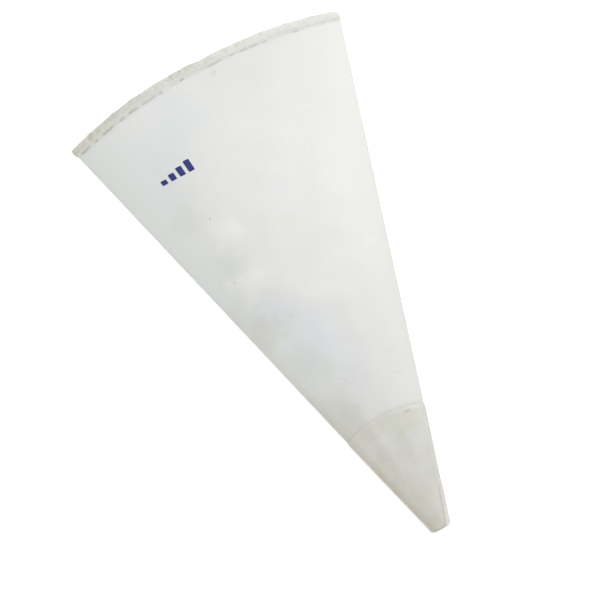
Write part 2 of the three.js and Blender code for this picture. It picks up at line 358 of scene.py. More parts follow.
def on_line(line, places, offset=0.0):
    """Points where a crossing line meets the places round the section, offset outwards."""
    stretch, share = places[:, 0], places[:, 1]
    offset = np.broadcast_to(offset, share.shape)
    x = np.zeros(len(places))
    distance = line(x)
    for _ in range(16):
        distance = (distance + line(x)) / 2
        radius = edge_radius(distance)
        reach = half_width(distance) - radius
        rise = arch_rise(distance)
        slope_end = ARCH_POWER * rise / reach
        sweep = math.pi - np.arctan(slope_end)
        across = across_section(stretch, share, 1)
        turned = np.where(stretch == 1, sweep * share, -sweep * (1 - share))
        angle = turned - math.pi / 2
        out = radius + offset
        slope = -np.sign(across) * slope_end * np.abs(across) ** (ARCH_POWER - 1)
        size = np.hypot(1, slope)
        base = across * reach
        on_end = (stretch == 1) | (stretch == 3)
        x = base + np.select([on_end, stretch == 2], [out * np.cos(angle), -out * slope / size], 0)
    relief = front_relief(x, distance, across)
    top = rise * (1 - np.abs(across) ** ARCH_POWER) + out / size + relief
    z = np.select([stretch == 0, on_end], [-out, out * np.sin(angle)], top)
    return np.stack([x, APEX_Y + distance, lift(distance) + radius + z], 1)


# ---------------------------------------------------------------- mesh building
def new_object(name, points, faces, material, slot_name, replaces, shade_and_wear=None):
    """A piece from points and faces. Shade and wear, 0 to 1 at each point, paint shade and soil on it.
    """
    mesh = bpy.data.meshes.new(name)
    mesh.from_pydata(points.tolist(), [], faces)
    mesh.validate()
    shade_and_wear_layer = mesh.attributes.new("shade_and_wear", "FLOAT", "POINT")
    if shade_and_wear is not None:
        shade_and_wear_layer.data.foreach_set("value", np.asarray(shade_and_wear, np.float32))
    mesh.materials.append(material)
    mesh.polygons.foreach_set("use_smooth", [True] * len(mesh.polygons))
    piece = bpy.data.objects.new(name, mesh)
    bpy.context.scene.collection.objects.link(piece)
    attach(piece, BODY)
    if replaces:
        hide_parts(*replaces)
    return piece


def grid_faces(rows, columns, rows_close):
    """Quads of a grid whose columns run round a closed loop."""
    faces = []
    for row in range(rows if rows_close else rows - 1):
        near, far = row * columns, (row + 1) % rows * columns
        for column in range(columns):
            beside = (column + 1) % columns
            faces.append((near + column, near + beside, far + beside, far + column))
    return faces


def ring_object(name, rows, *look, shade_and_wear=None):
    """A ring of cloth from loops that follow each other round a closed profile."""
    points = np.concatenate(rows)
    return new_object(name, points, grid_faces(len(rows), len(rows[0]), True), *look, shade_and_wear=shade_and_wear)


def strip_object(name, rows, *look):
    """A long closed strip or strand from cross-section loops, capped at both ends."""
    columns = len(rows[0])
    faces = grid_faces(len(rows), columns, False)
    faces.append(tuple(reversed(range(columns))))
    faces.append(tuple(range((len(rows) - 1) * columns, len(rows) * columns)))
    return new_object(name, np.concatenate(rows), faces, *look)


def strand_rows(path, radius, sides=8):
    """Circles round a path, each in the plane across it."""
    path = np.asarray(path)
    tangent = np.gradient(path, axis=0)
    tangent /= np.linalg.norm(tangent, axis=1, keepdims=True)
    side = np.cross(tangent, [0, 0, 1.0])
    side /= np.maximum(np.linalg.norm(side, axis=1, keepdims=True), 1e-9)
    up = np.cross(side, tangent)
    angles = np.arange(sides) * 2 * math.pi / sides
    cosines, sines = radius * np.cos(angles), radius * np.sin(angles)
    return [p + np.outer(cosines, s) + np.outer(sines, u) for p, s, u in zip(path, side, up)]


# ---------------------------------------------------------------- materials
def new_material(name):
    material = bpy.data.materials.new(name)
    material.use_nodes = True
    tree = material.node_tree
    return material, tree, tree.nodes["Principled BSDF"]


def add(tree, kind, **inputs):
    """Adds a node, setting its properties and its inputs by name, with _ for a space."""
    node = tree.nodes.new(kind)
    for key, value in inputs.items():
        if hasattr(node, key):
            setattr(node, key, value)
        else:
            node.inputs[key.replace("_", " ")].default_value = value
    return node


def blend_colour(tree, below, colour, factor):
    """Paints a colour over what is below it, where the factor is high."""
    mix = add(tree, "ShaderNodeMix", data_type="RGBA")
    tree.links.new(factor, mix.inputs["Factor"])
    tree.links.new(below, mix.inputs["A"])
    mix.inputs["B"].default_value = (*colour, 1)
    return mix.outputs["Result"]


def ramp(tree, value, start, stop, low, high):
    """Goes smoothly from low to high as the value goes from start to stop."""
    node = add(tree, "ShaderNodeMapRange", interpolation_type="SMOOTHSTEP")
    tree.links.new(value, node.inputs["Value"])
    for name, number in (("From Min", start), ("From Max", stop), ("To Min", low), ("To Max", high)):
        node.inputs[name].default_value = number
    return node.outputs["Result"]


def product(tree, first, second):
    node = add(tree, "ShaderNodeMath", operation="MULTIPLY")
    tree.links.new(first, node.inputs[0])
    tree.links.new(second, node.inputs[1])
    return node.outputs["Value"]


def along(tree, place, direction, start):
    """Distance of a place along a direction, from a start value."""
    dot = add(tree, "ShaderNodeVectorMath", operation="DOT_PRODUCT")
    tree.links.new(place, dot.inputs[0])
    dot.inputs[1].default_value = direction
    shifted = add(tree, "ShaderNodeMath", operation="SUBTRACT")
    tree.links.new(dot.outputs["Value"], shifted.inputs[0])
    shifted.inputs[1].default_value = start
    return shifted.outputs["Value"]


def vector_sum(tree, vector, scale, shift):
    """The vector, its parts scaled and then shifted."""
    node = add(tree, "ShaderNodeVectorMath", operation="MULTIPLY_ADD")
    tree.links.new(vector, node.inputs[0])
    node.inputs[1].default_value = scale
    node.inputs[2].default_value = shift
    return node.outputs["Vector"]


def away_from(tree, place, spot):
    distance = add(tree, "ShaderNodeVectorMath", operation="DISTANCE")
    tree.links.new(place, distance.inputs[0])
    distance.inputs[1].default_value = spot
    return distance.outputs["Value"]


def noise(tree, place, scale, detail, roughness):
    """Noise of about 0.3 to 0.7, in blots of about one over the scale, in metres."""
    node = add(tree, "ShaderNodeTexNoise", Scale=scale, Detail=detail, Roughness=roughness)
    tree.links.new(place, node.inputs["Vector"])
    return node.outputs["Fac"]


# The colour of painted shade and soil, laid on by each point's shade and wear value.
SHADE_AND_SOIL = (0.43, 0.40, 0.32)


def cloth_colour(tree, place, mottle, base, warm, tints):
    """The base colour under warm, cool and dark mottling, then the tints, then painted shade and soil.
    """
    ground = add(tree, "ShaderNodeRGB")
    ground.outputs[0].default_value = (*base, 1)
    cooler = (base[0] * 0.965, base[1] * 0.985, base[2] * 1.01)
    darker = tuple(0.95 * part for part in base)
    clouds = noise(tree, place, 19.0, 3.0, 0.5)
    fine = noise(tree, place, 260.0, 3.0, 0.6)
    colour = blend_colour(tree, ground.outputs[0], warm, ramp(tree, mottle, 0.42, 0.72, 0, 1))
    colour = blend_colour(tree, colour, cooler, ramp(tree, clouds, 0.45, 0.62, 0, 0.65))
    colour = blend_colour(tree, colour, darker, ramp(tree, fine, 0.45, 0.75, 0, 0.4))
    for tint in tints:
        paint, factor = tint(tree, place, mottle)
        colour = blend_colour(tree, colour, paint, factor)
    shade_and_wear = add(tree, "ShaderNodeAttribute", attribute_name="shade_and_wear")
    shade_and_soil = product(tree, shade_and_wear.outputs["Fac"], ramp(tree, mottle, 0.3, 0.6, 0.6, 1))
    return blend_colour(tree, colour, SHADE_AND_SOIL, shade_and_soil)


def weave_normal(tree, place, depth):
    """The bump of a plain weave, one wave for each thread."""
    threads = 2 * math.pi / (20 * THREAD_PITCH)
    waves = []
    for direction in "XY":
        wave = add(tree, "ShaderNodeTexWave", bands_direction=direction, Scale=threads, Distortion=0.4)
        tree.links.new(place, wave.inputs["Vector"])
        waves.append(wave.outputs["Fac"])
    relief = add(tree, "ShaderNodeBump", Strength=0.25, Distance=depth)
    tree.links.new(product(tree, *waves), relief.inputs["Height"])
    return relief.outputs["Normal"]


def cloth_material(name, base, warm, roughness, weave_depth, tints=()):
    """Woven cotton under a smooth coating: fine plain weave, mottling and slight warm patches.
    Each tint is a function of (tree, place, mottle), giving (colour, factor)."""
    material, tree, shader = new_material(name)
    place = add(tree, "ShaderNodeTexCoord").outputs["Object"]
    mottle = noise(tree, place, 28.0, 4.0, 0.55)
    colour = cloth_colour(tree, place, mottle, base, warm, tints)
    rough = add(tree, "ShaderNodeMapRange", To_Min=roughness - 0.06, To_Max=roughness + 0.08)
    tree.links.new(mottle, rough.inputs["Value"])
    tree.links.new(colour, shader.inputs["Base Color"])
    tree.links.new(rough.outputs["Result"], shader.inputs["Roughness"])
    tree.links.new(weave_normal(tree, place, weave_depth), shader.inputs["Normal"])
    shader.inputs["Sheen Weight"].default_value = 0.06
    shader.inputs["Sheen Roughness"].default_value = 0.5
    shader.inputs["Specular IOR Level"].default_value = 0.4
    return material


FROM_FOLD = (math.cos(HALF_ANGLE), math.sin(HALF_ANGLE), 0)
FROM_SEAM = (-math.cos(HALF_ANGLE), math.sin(HALF_ANGLE), 0)
EDGE_START = APEX_Y * math.sin(HALF_ANGLE)


def band_along(direction, width, colour, strength, start=0.0, patchy=0.0):
    """A tint beside the folded edge or the seam edge, fading out from start to width."""

    def tint(tree, place, mottle):
        inward = along(tree, place, direction, EDGE_START)
        factor = ramp(tree, inward, start, width, strength, 0)
        return colour, product(tree, factor, ramp(tree, mottle, 0.35, 0.6, 1 - patchy, 1))

    return tint


def toward_tip(start, stop, colour, strength):
    """A tint that grows towards the tip, between two places along Y."""

    def tint(tree, place, mottle):
        return colour, ramp(tree, along(tree, place, (0, 1, 0), 0), stop, start, strength, 0)

    return tint


def patch(x, distance, radius, colour, strength, core=0.15, ragged=0.9):
    """A soft patch at a place given in mm, on both layers. Core is the share of its radius at
    full strength, and ragged how far its outline wanders, against its radius."""

    def tint(tree, place, mottle):
        wander = add(tree, "ShaderNodeTexNoise", Scale=0.9 / (radius * MM), Detail=3.0, Roughness=0.6)
        tree.links.new(place, wander.inputs["Vector"])
        reach = 2 * ragged * radius * MM
        back = (-reach / 2, -reach / 2, 0)
        shift = vector_sum(tree, wander.outputs["Color"], (reach, reach, 0), back)
        moved = add(tree, "ShaderNodeVectorMath", operation="ADD")
        tree.links.new(place, moved.inputs[0])
        tree.links.new(shift, moved.inputs[1])
        flat = vector_sum(tree, moved.outputs["Vector"], (1, 1, 0), (0, 0, 0))
        away = away_from(tree, flat, (x * MM, APEX_Y + distance * MM, 0))
        return colour, ramp(tree, away, radius * core * MM, radius * MM, strength, 0)

    return tint


def mottled(scale, colour, strength, low=0.45, high=0.62):
    """An uneven tint all over, in blots of about one over the scale in metres."""

    def tint(tree, place, mottle):
        return colour, ramp(tree, noise(tree, place, scale, 3.0, 0.6), low, high, 0, strength)

    return tint


def fold_edge_shade_and_grime(tree, place, mottle):
    """Painted shade and brownish grime along the folded edge, stronger towards the tip."""
    inward = along(tree, place, FROM_FOLD, EDGE_START)
    edge = ramp(tree, inward, 0.3 * MM, 6.5 * MM, 0.38, 0)
    low = ramp(tree, along(tree, place, (0, 1, 0), 0), -150 * MM, 40 * MM, 1, 0.08)
    patchy = ramp(tree, mottle, 0.3, 0.6, 0.5, 1)
    return FOLD_SHADE_AND_GRIME, product(tree, edge, product(tree, low, patchy))


def lap_edge_shadow(tree, place, mottle):
    """A painted shadow line along the reinforcement's overlap, near its edge."""
    inward = along(tree, place, FROM_SEAM, EDGE_START)
    line = product(
        tree,
        ramp(tree, inward, LAP_WIDTH - 2.1 * MM, LAP_WIDTH - 1.4 * MM, 0, 0.22),
        ramp(tree, inward, LAP_WIDTH - 1.2 * MM, LAP_WIDTH - 0.5 * MM, 1, 0),
    )
    height = along(tree, place, (0, 1, 0), APEX_Y)
    return (0.56, 0.53, 0.46), product(tree, line, ramp(tree, height, 70 * MM, 95 * MM, 1, 0))


def seam_edge_shade_line(tree, place, mottle):
    """A painted thin dark shade line along the seam edge."""
    inward = along(tree, place, FROM_SEAM, EDGE_START)
    return (0.42, 0.41, 0.38), ramp(tree, inward, 0.35 * MM, 0.85 * MM, 0.55, 0)


# The colour of the painted shade and grime along the folded edge.
FOLD_SHADE_AND_GRIME = (0.47, 0.375, 0.25)
FOLD_SIDE_SHADE = (0.70, 0.735, 0.705)
BLUISH = (0.70, 0.745, 0.80)
SLATE_SHADE = (0.705, 0.76, 0.765)
CREAM = (0.80, 0.80, 0.745)
# Pale specks, and painted highlights on the front's two soft lumps.
SPECK_AND_HIGHLIGHT_WHITE = (0.85, 0.845, 0.83)
WARM_GREY = (0.66, 0.64, 0.585)
OLIVE = (0.60, 0.59, 0.44)
VIOLET = (0.47, 0.44, 0.60)
MOSS_SHADE = (0.64, 0.65, 0.59)
GREY_GREEN_SHADE = (0.64, 0.67, 0.62)
PALE_GREY_SHADE = (0.735, 0.735, 0.715)
DULL_OLIVE_SHADE = (0.62, 0.615, 0.55)
DULL_GREEN_SHADE = (0.63, 0.64, 0.585)
SEAM_EDGE_SHADE = (0.68, 0.675, 0.64)
SEAM_PALE = (0.745, 0.745, 0.72)
SIDE_PALE = (0.755, 0.755, 0.73)
DEEP_GREEN_SHADE = (0.63, 0.67, 0.62)
DEEP_OLIVE_SHADE = (0.60, 0.60, 0.53)
BROWNISH_SHADE = (0.60, 0.585, 0.51)
DARK_SPOT = (0.42, 0.41, 0.36)

# What lies on each cloth, from the bottom up: patches are placed by x and distance, in mm.
BODY_TINTS = [
    # Painted shade on the side towards the fold, where the surface turns away from the light.
    band_along(FROM_FOLD, 44 * MM, FOLD_SIDE_SHADE, 0.7),
    patch(-30, 196, 20, BLUISH, 0.35),
    patch(-16, 172, 34, BLUISH, 0.5),
    patch(-4, 138, 30, BLUISH, 0.45),
    # Painted shade: darker slate patches on the left half, towards the fold.
    patch(-22, 337, 22, SLATE_SHADE, 0.6),
    patch(-40, 326, 30, SLATE_SHADE, 0.6),
    patch(-52, 300, 26, SLATE_SHADE, 0.4),
    patch(22, 318, 34, CREAM, 0.5),
    patch(14, 244, 30, CREAM, 0.5),
    patch(42, 270, 28, CREAM, 0.35),
    # Painted shade: darker green patches towards the fold.
    patch(-30, 160, 22, MOSS_SHADE, 0.35),
    patch(-42, 236, 14, GREY_GREEN_SHADE, 0.3),
    toward_tip(-10 * MM, -150 * MM, WARM_GREY, 0.55),
    # Painted highlights on the two soft lumps of the raised field.
    patch(-31.8, 256, 17, SPECK_AND_HIGHLIGHT_WHITE, 0.85),
    patch(-34, 222, 17, SPECK_AND_HIGHLIGHT_WHITE, 0.75),
    # Painted shade that dims the seam side near the mouth, where the light falls strongest.
    patch(70, 365, 120, PALE_GREY_SHADE, 1.0, 0.1, 0.2),
    patch(47, 209.5, 6, SPECK_AND_HIGHLIGHT_WHITE, 0.8),
    # Painted shade in the deep crease here.
    patch(-22, 190, 7, WARM_GREY, 0.25),
    # Painted shade above the reinforcement's edge, towards the fold.
    patch(-30, 118, 30, DULL_OLIVE_SHADE, 0.45),
    # Painted shade towards the folded edge.
    patch(-55, 200, 24, DULL_GREEN_SHADE, 0.4),
    # Painted shade and brownish grime along the folded edge.
    fold_edge_shade_and_grime,
    # Painted shade along the seam edge.
    band_along(FROM_SEAM, 3.2 * MM, SEAM_EDGE_SHADE, 0.8),
    band_along(FROM_SEAM, 16 * MM, SEAM_PALE, 0.6),
    band_along(FROM_SEAM, 70 * MM, SIDE_PALE, 0.6),
    # More painted shade towards the fold.
    patch(-54, 274, 15, DEEP_GREEN_SHADE, 0.3),
    patch(-42, 187, 17, DEEP_OLIVE_SHADE, 0.4),
    # Painted shade just above the reinforcement's edge.
    patch(-20, 112, 13, BROWNISH_SHADE, 0.35),
    # Painted thin shade line along the seam edge.
    seam_edge_shade_line,
    patch(-38.7, 269.8, 1.0, VIOLET, 0.6, 0.4, 0.3),
    patch(-43.9, 226.3, 1.0, VIOLET, 0.5, 0.4, 0.3),
    patch(6.9, 351.7, 2.4, OLIVE, 0.4, 0.3, 0.5),
    patch(40.2, 327.0, 1.8, SPECK_AND_HIGHLIGHT_WHITE, 0.3, 0.1, 0.8),
    patch(49.8, 305.5, 1.9, SPECK_AND_HIGHLIGHT_WHITE, 0.4, 0.1, 0.8),
    patch(36.6, 278.8, 1.8, SPECK_AND_HIGHLIGHT_WHITE, 0.4, 0.1, 0.8),
    patch(58.2, 272.9, 1.7, SPECK_AND_HIGHLIGHT_WHITE, 0.35, 0.1, 0.8),
    patch(74.8, 307.9, 1.7, SPECK_AND_HIGHLIGHT_WHITE, 0.35, 0.1, 0.8),
]
TIP_TINTS = [
    mottled(75.0, (0.625, 0.575, 0.49), 0.4),
    mottled(110.0, (0.66, 0.68, 0.64), 0.45, 0.5, 0.64),
    # Painted shade on the side towards the fold, where the rounder tip turns away from the light.
    band_along(FROM_FOLD, 22 * MM, (0.63, 0.60, 0.53), 0.4, patchy=0.4),
    patch(6, 96, 16, (0.67, 0.675, 0.59), 0.6),
    patch(-10, 84, 11, (0.63, 0.63, 0.58), 0.4),
    patch(-16, 100, 12, (0.62, 0.605, 0.53), 0.35),
    patch(2, 80, 10, (0.65, 0.61, 0.545), 0.4),
    patch(5, 66, 9, (0.69, 0.70, 0.67), 0.45),
    patch(-4, 62, 9, (0.64, 0.605, 0.54), 0.4),
    patch(-2, 46, 9, (0.62, 0.60, 0.53), 0.4),
    patch(1, 33, 8, (0.60, 0.58, 0.49), 0.4),
    patch(14.6, 101.8, 1.5, DARK_SPOT, 0.4, 0.2, 0.5),
    patch(16.6, 101.7, 1.7, DARK_SPOT, 0.4, 0.2, 0.5),
    patch(-2, 30, 8, (0.56, 0.53, 0.44), 0.35),
    # Painted shadow line along the reinforcement's overlap.
    lap_edge_shadow,
    # Painted shade and brownish grime along the folded edge.
    fold_edge_shade_and_grime,
    # Painted thin shade line along the seam edge.
    seam_edge_shade_line,
]
HEM_TINTS = [
    mottled(330.0, (0.67, 0.68, 0.61), 0.35),
    mottled(190.0, (0.80, 0.80, 0.77), 0.4, 0.5, 0.62),
    band_along(FROM_FOLD, 100 * MM, (0.69, 0.69, 0.625), 0.8, start=50 * MM, patchy=0.35),
    band_along(FROM_FOLD, 26 * MM, (0.64, 0.61, 0.50), 0.5, patchy=0.5),
]

BODY = next(iter(frame["bodies"]))
# Name, base colour, warmer colour, roughness, depth of the weave, tints.
body_cotton = cloth_material(
    "body_cotton", (0.80, 0.80, 0.775), (0.785, 0.78, 0.745), 0.40, 0.05 * MM, BODY_TINTS)
hem_cotton = cloth_material(
    "hem_cotton", (0.785, 0.785, 0.75), (0.73, 0.725, 0.67), 0.55, 0.08 * MM, HEM_TINTS)
tip_cotton = cloth_material(
    "tip_cotton", (0.70, 0.695, 0.65), (0.665, 0.65, 0.595), 0.46, 0.07 * MM, TIP_TINTS)
thread_cotton = cloth_material(
    "thread_cotton", (0.73, 0.72, 0.66), (0.64, 0.62, 0.53), 0.75, 0.05 * MM)
tape_film = cloth_material("tape_film", (0.80, 0.79, 0.75), (0.77, 0.76, 0.72), 0.35, 0.02 * MM)
blue_ink = cloth_material("blue_ink", (0.025, 0.032, 0.17), (0.03, 0.04, 0.2), 0.6, 0.04 * MM)


# ---------------------------------------------------------------- the pieces
def crowded_shares(steps):
    """Shares of the way from tip to mouth, closer together where the fine creases are."""
    share = np.linspace(0, 1, 2001)
    middle = (132 * MM - TIP_DISTANCE) / LENGTH
    counted = np.cumsum(1 + 2.5 * bump(share, middle, 0.06))
    counted = (counted - counted[0]) / (counted[-1] - counted[0])
    return np.interp(np.linspace(0, 1, steps + 1), counted, share)


def body_panel():
    """The folded panel: an outer and an inner face, joined at the mouth and at the cut tip.
    Its shade and wear value is a painted shade just above the reinforcement's edge."""
    places = round_places()
    high = line_below(mouth_line, CLOTH)
    lines = [line_between(tip_line, high, share) for share in crowded_shares(PANEL_STEPS)]
    outer = [on_line(line, places) for line in lines]
    inner = [on_line(line, places, -CLOTH) for line in lines[::-INNER_EVERY]]
    shade_and_wear = []
    for points in outer:
        above = points[:, 1] - APEX_Y - sleeve_line(points[:, 0])
        shade_and_wear.append(0.22 * smooth(4 * MM, 0, above) * smooth(-0.5 * MM, 0, above))
    shade_and_wear = np.concatenate(shade_and_wear + [np.zeros(len(places))] * len(inner))
    look = (body_cotton, "coated_cotton", ["body_panel"])
    return ring_object("bag_body", outer + inner, *look, shade_and_wear=shade_and_wear)


def tip_sleeve():
    """The reinforcement, thinned out towards its upper edge."""
    places = round_places(36, 12, 60)
    shares = 1 - (1 - np.arange(SLEEVE_STEPS + 1) / SLEEVE_STEPS) ** 1.25
    lines = [line_between(tip_line, sleeve_line, share) for share in shares]
    thick = CLOTH * np.append(np.ones(len(lines) - 3), [0.9, 0.62, 0.25])
    outer = [on_line(line, places, LAYER_GAP + part) for line, part in zip(lines, thick)]
    inner = [on_line(line, places, LAYER_GAP) for line in lines[::-INNER_EVERY]]
    shade_and_wear = np.repeat(sleeve_edge_darkening(shares), len(places))
    shade_and_wear = np.append(shade_and_wear, np.zeros(len(places) * len(inner)))
    look = (tip_cotton, "tip_cotton", ["tip_reinforcement"])
    return ring_object("tip_sleeve", outer + inner, *look, shade_and_wear=shade_and_wear)


def sleeve_edge_darkening(shares):
    """Darkening along the reinforcement's two cut edges, at shares of the way up from the tip.
    At the upper edge it is painted shade that dims the lit bevel.
    """
    return 0.1 * bump(shares, 0, 0.02) + 0.06 * bump(shares, 0.985, 0.01)


# Where the hem is gathered into a pleat on the front, in degrees from the axis, and the
# stretches where its lower edge stands off the cloth.
PLEATS = (-13.4, -10.2, -7.9, -5.0, -2.9, -1.5, 0.7, 2.7, 4.2, 6.8, 9.5, 12.3)
STAND_OFF = (
    (-15.1, -13.8), (-13.1, -12.7), (-12.0, -10.6), (-9.7, -9.0), (-8.5, -7.3), (-6.8, -5.2),
    (-4.7, -4.3), (-2.3, -1.8), (1.0, 2.5), (3.4, 3.9), (4.6, 5.3), (5.6, 6.5), (7.1, 7.5),
    (10.3, 11.0),
)
RIM_PER_DEGREE = 6.3 * MM            # length of the mouth's rim for each degree round the apex
BACK_SHIFT = 1.3                     # degrees by which the back's pattern differs from the front's


def hem_angle(places):
    """Degrees from the axis. The back layer's pattern is the front's, shifted."""
    stretch, share = places[:, 0], places[:, 1]
    shift = np.where(stretch == 0, BACK_SHIFT, 0)
    return across_section(stretch, share, math.degrees(HALF_ANGLE)) + shift


def pleat_fullness(angle):
    """1 between two pleats and 0 in a pleat."""
    pinched = np.zeros_like(angle)
    for number, centre in enumerate(PLEATS):
        pinched += bump(angle, centre, 0.3 + 0.12 * (number % 3))
    return 1 - np.clip(pinched, 0, 1)


def standing_off(angle):
    """1 where the hem's lower edge stands off the cloth."""
    blend = 0.16
    total = np.zeros_like(angle)
    for low, high in STAND_OFF:
        total += smooth(low - blend, low + blend, angle) - smooth(high - blend, high + blend, angle)
    return total


def hem_top(share, full, slant, open_edge):
    """Height of the hem's outer face over the cloth, at a share of its depth: a soft crown over
    the upper part, a dip along the stitches, and a lift where the lower edge stands off."""
    wobble = soft_noise(slant * RIM_PER_DEGREE, np.full_like(slant, HEM_DEPTH * share), 5 * MM, 23)
    crown = math.sin(math.pi * min(share / 0.72, 1)) ** 0.6 if share < 0.72 else 0
    stitched = bump(share, 0.79, 0.05)
    height = 0.62 + (0.16 + 0.3 * full + 0.07 * wobble) * crown - 0.12 * stitched
    return (height + 0.12 * open_edge * smooth(0.8, 0.95, share)) * MM


def hem_blots_and_shade(share, full, angle, open_edge, left):
    """Darkening on the hem: darker blots on its upper part, painted shade in the pleats and along
    the rim, and a painted shadow under the lower edge where it stands off. It is strongest at the
    left."""
    along_rim, depth = angle * RIM_PER_DEGREE, np.full_like(angle, HEM_DEPTH * share)
    upper_blots = 0.31 + 0.13 * soft_noise(along_rim, depth, 5 * MM, 7)
    upper_blots += 0.11 * soft_noise(along_rim, depth, 2.2 * MM, 9)
    darkened = 0.12 * (1 - full) + np.clip(upper_blots, 0, 1) * smooth(0.72, 0.5, share)
    darkened = darkened * (0.25 + 0.75 * left) + 0.4 * bump(share, 0, 0.045)
    return np.clip(darkened + 0.85 * bump(share, 1.0, 0.17) * open_edge, 0, 1)


def turned_hem():
    """The cloth turned out over the mouth: a hook-shaped section, gathered into pleats. Each row
    is a depth below the rim and an offset outwards, first on the side towards the bag."""
    places = round_places(300, 12, 620)
    angle = hem_angle(places)
    left = smooth(15, -12, angle)
    open_edge = standing_off(angle) * (0.45 + 0.55 * left)
    waver = 0.7 * np.where(places[:, 0] == 2, rim_waver(angle), 0)
    edge_gap = LAYER_GAP - 0.09 * MM * (1 - open_edge) + 0.25 * MM * open_edge
    rows = [
        (HEM_DEPTH - 0.2 * MM + waver, edge_gap),
        (HEM_DEPTH - 2.2 * MM, LAYER_GAP + 0.05 * MM * open_edge),
        (HEM_DEPTH / 2, LAYER_GAP),
        (CLOTH + 0.1 * MM, LAYER_GAP),
        (CLOTH * 0.8, -CLOTH / 2),
    ]
    shade_and_wear = [np.zeros(len(places))] * len(rows)
    for step in range(HEM_STEPS + 1):
        share = 1 - (1 - step / HEM_STEPS) ** 1.5
        slant = angle + 0.55 * (share - 0.5)
        full = pleat_fullness(slant)
        drawn = share * (0.28 * full - 0.1) - (1 - share) * 0.22 * (1 - full)
        depth = HEM_DEPTH * share + drawn * MM + share**2 * waver
        bottom = LAYER_GAP * (1 - share) + edge_gap * share
        end = smooth(1.0, 0.76 + 0.19 * open_edge, share)
        thinned = 0.06 + 0.94 * end + 0.3 * open_edge * (1 - end)
        rounded = min(share / 0.07, 1) ** 0.5
        thick = hem_top(share, full, slant, open_edge) - bottom
        rows.append((depth, bottom + thick * rounded * thinned))
        shade_and_wear.append(hem_blots_and_shade(share, full, angle, open_edge, left))
    loops = [on_line(line_below(mouth_line, depth), places, offset) for depth, offset in rows]
    look = (hem_cotton, "hem_cotton", ["mouth_hem"])
    return ring_object("turned_hem", loops, *look, shade_and_wear=np.concatenate(shade_and_wear))


def mouth_stitches(name, offset, hole_offset, replaced):
    """A lockstitch thread round the mouth: each stitch bows over the cloth between two holes."""
    per_stitch = 8
    around = 4 * HALF_ANGLE * MOUTH_DISTANCE
    on_each_side = int(around / STITCH_PITCH) * per_stitch // 2
    places = round_places(on_each_side, 6, on_each_side)
    phase = np.arange(len(places)) % per_stitch / per_stitch
    bow = np.sin(math.pi * phase) ** 0.4
    height = hole_offset + (offset - hole_offset) * bow
    path = on_line(line_below(mouth_line, STITCH_DEPTH), places, height)
    rows = strand_rows(path, THREAD_RADIUS, 6)
    return ring_object(name, rows, thread_cotton, "thread", [replaced])


SEAM_START = 62 * MM
SEAM_STOP = (MOUTH_DISTANCE - HEM_DEPTH) * math.cos(HALF_ANGLE)


def seam_line(share):
    """Crossing lines from where the seam's allowance is trimmed, up to the hem."""
    high = line_below(mouth_line, HEM_DEPTH + 0.4 * MM + MOUTH_CORNER / 2)
    return line_between(level_line(SEAM_START), high, share)


def back_strip(name, width, outer, inner, material, slot_name, replaced):
    """A flat strip inside the bag, on the back layer beside the side seam."""
    steps = 60
    rows = []
    for step in range(steps + 1):
        line = seam_line(step / steps)
        distance = SEAM_START + (SEAM_STOP - SEAM_START) * step / steps
        reach = half_width(distance) - edge_radius(distance)
        wander = 0.25 * MM * math.sin(distance * 190)
        inward = (0.3 * MM, width * 0.35, width * 0.7, width + wander)
        places = np.array([(0, 1 - part / (2 * reach)) for part in inward])
        outside = on_line(line, places, outer)
        inside = on_line(line, places[::-1], inner)
        rows.append(np.concatenate([outside, inside]))
    return strip_object(name, rows, material, slot_name, [replaced])


def seam_strand():
    """The side seam's thread, inside the seam end of the section."""
    steps = 260
    place = np.array([(1, 0.5)])
    path = []
    for step in range(steps + 1):
        bow = abs(math.sin(math.pi * step / 3))
        path.append(on_line(seam_line(step / steps), place, -CLOTH - (0.35 + 0.12 * bow) * MM)[0])
    rows = strand_rows(path, THREAD_RADIUS, 6)
    return strip_object("seam_strand", rows, thread_cotton, "thread", ["seam_thread"])


def tip_lap():
    """The reinforcement's lapped edge, a tongue that is widest at the cut tip. It starts on the
    seam edge's end and runs in over the front, thinning out at its own edge."""
    low, high = TIP_DISTANCE, 51 * MM
    steps = 40
    taper = np.array([1, 1, 1, 1, 1, 1, 1, 0.8, 0.5, 0.2])
    base = SLEEVE_OFFSET + 0.06 * MM
    rows = []
    for step in range(steps + 1):
        share = step / steps
        distance = low + (high - low) * share
        reach = half_width(distance) - edge_radius(distance)
        width = (LAP_WIDTH - 1.1 * MM * smooth(0, 0.5, share)) * smooth(1.0, 0.9, share)
        inward = max(width - edge_radius(distance) - SLEEVE_OFFSET, 0.02 * MM)
        around = [(1, 0.45), (1, 0.6), (1, 0.75), (1, 0.9)]
        around += [(2, part / 5 * inward / (2 * reach)) for part in range(6)]
        around = np.array(around)
        line = line_between(tip_line, level_line(high), share)
        thick = 0.55 * CLOTH * (0.35 + 0.65 * smooth(1.0, 0.8, share))
        outside = on_line(line, around, base + thick * taper)
        inside = on_line(line, around[::-1], base)
        rows.append(np.concatenate([outside, inside]))
    return strip_object("tip_lap_edge", rows, tip_cotton, "tip_cotton", ["tip_lap"])


# The size mark: its ends as shares of the way from the middle to the seam edge, the distance
# of its lower side, its tallest bar, and the height and thickness of the ink.
MARK_LEFT, MARK_RIGHT = -0.685, -0.375
MARK_LOW, MARK_TALLEST = 302.5 * MM, 8.2 * MM
INK_OFFSET, INK_THICKNESS = 0.05 * MM, 0.04 * MM
BAR_COUNT, BAR_COLUMNS, BAR_ROWS = 4, 8, 11


